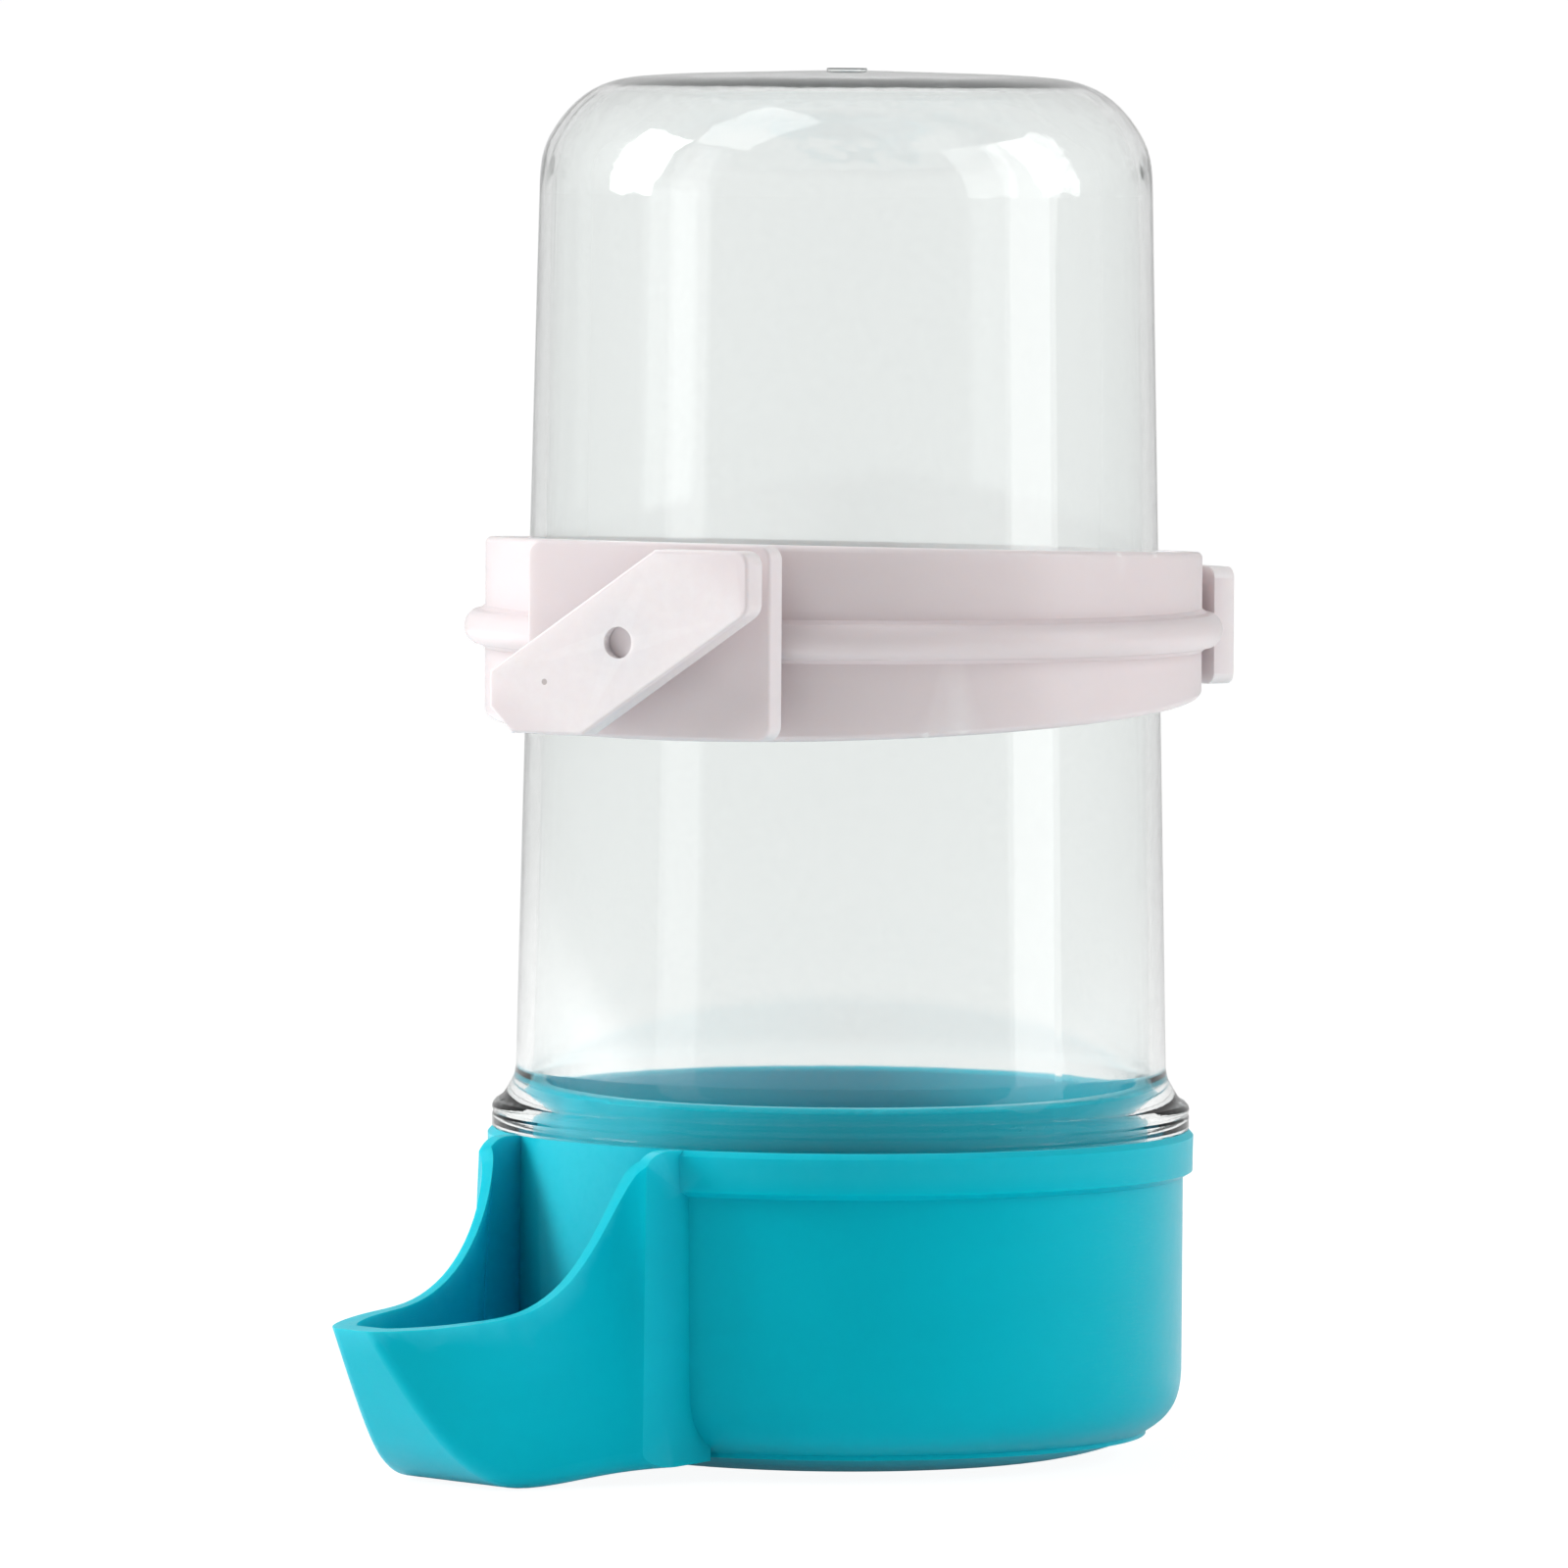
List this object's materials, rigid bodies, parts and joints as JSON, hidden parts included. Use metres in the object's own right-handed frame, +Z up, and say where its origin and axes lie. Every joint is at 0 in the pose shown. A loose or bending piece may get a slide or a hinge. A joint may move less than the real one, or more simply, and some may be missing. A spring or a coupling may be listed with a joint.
{
  "type": "gravity drinker bottle",
  "caption": "Upright gravity drinker: clear domed reservoir in a cup base with a beak-shaped drinking trough, held to cage wire by a ring with a turn-lock clip.",
  "frame": {"origin": "centre of the cup base's flat underside, on the reservoir's axis", "axes": "+Z up along the reservoir; the drinking trough points towards -Y; +X is to the right seen from the trough side looking along +Y"},
  "size_m": [0.0706, 0.0971, 0.1292],
  "materials": {
    "base_plastic": "gloss moulded teal plastic",
    "clear_plastic": "clear gloss moulded plastic, faint cool tint",
    "ring_plastic": "white moulded plastic, satin to gloss"
  },
  "bodies": {
    "base": {"base": "base_plastic"},
    "bottle": {"bottle": "clear_plastic"},
    "ring": {"ring": "ring_plastic"},
    "lock_plate": {"lock_plate": "ring_plastic"}
  },
  "joints": [
    {"name": "bottle_lift", "type": "slide", "parent": "base", "child": "bottle", "axis": [0, 0, 1], "range_m": [0, 0.03]},
    {"name": "ring_slide", "type": "slide", "parent": "bottle", "child": "ring", "axis": [0, 0, 1], "range_m": [0, 0.06]},
    {"name": "lock_turn", "type": "hinge", "parent": "ring", "child": "lock_plate", "pos_m": [0.01289, -0.03744, 0.0771], "axis": [0.3256, -0.9455, 0], "range_deg": [0, 56]}
  ]
}
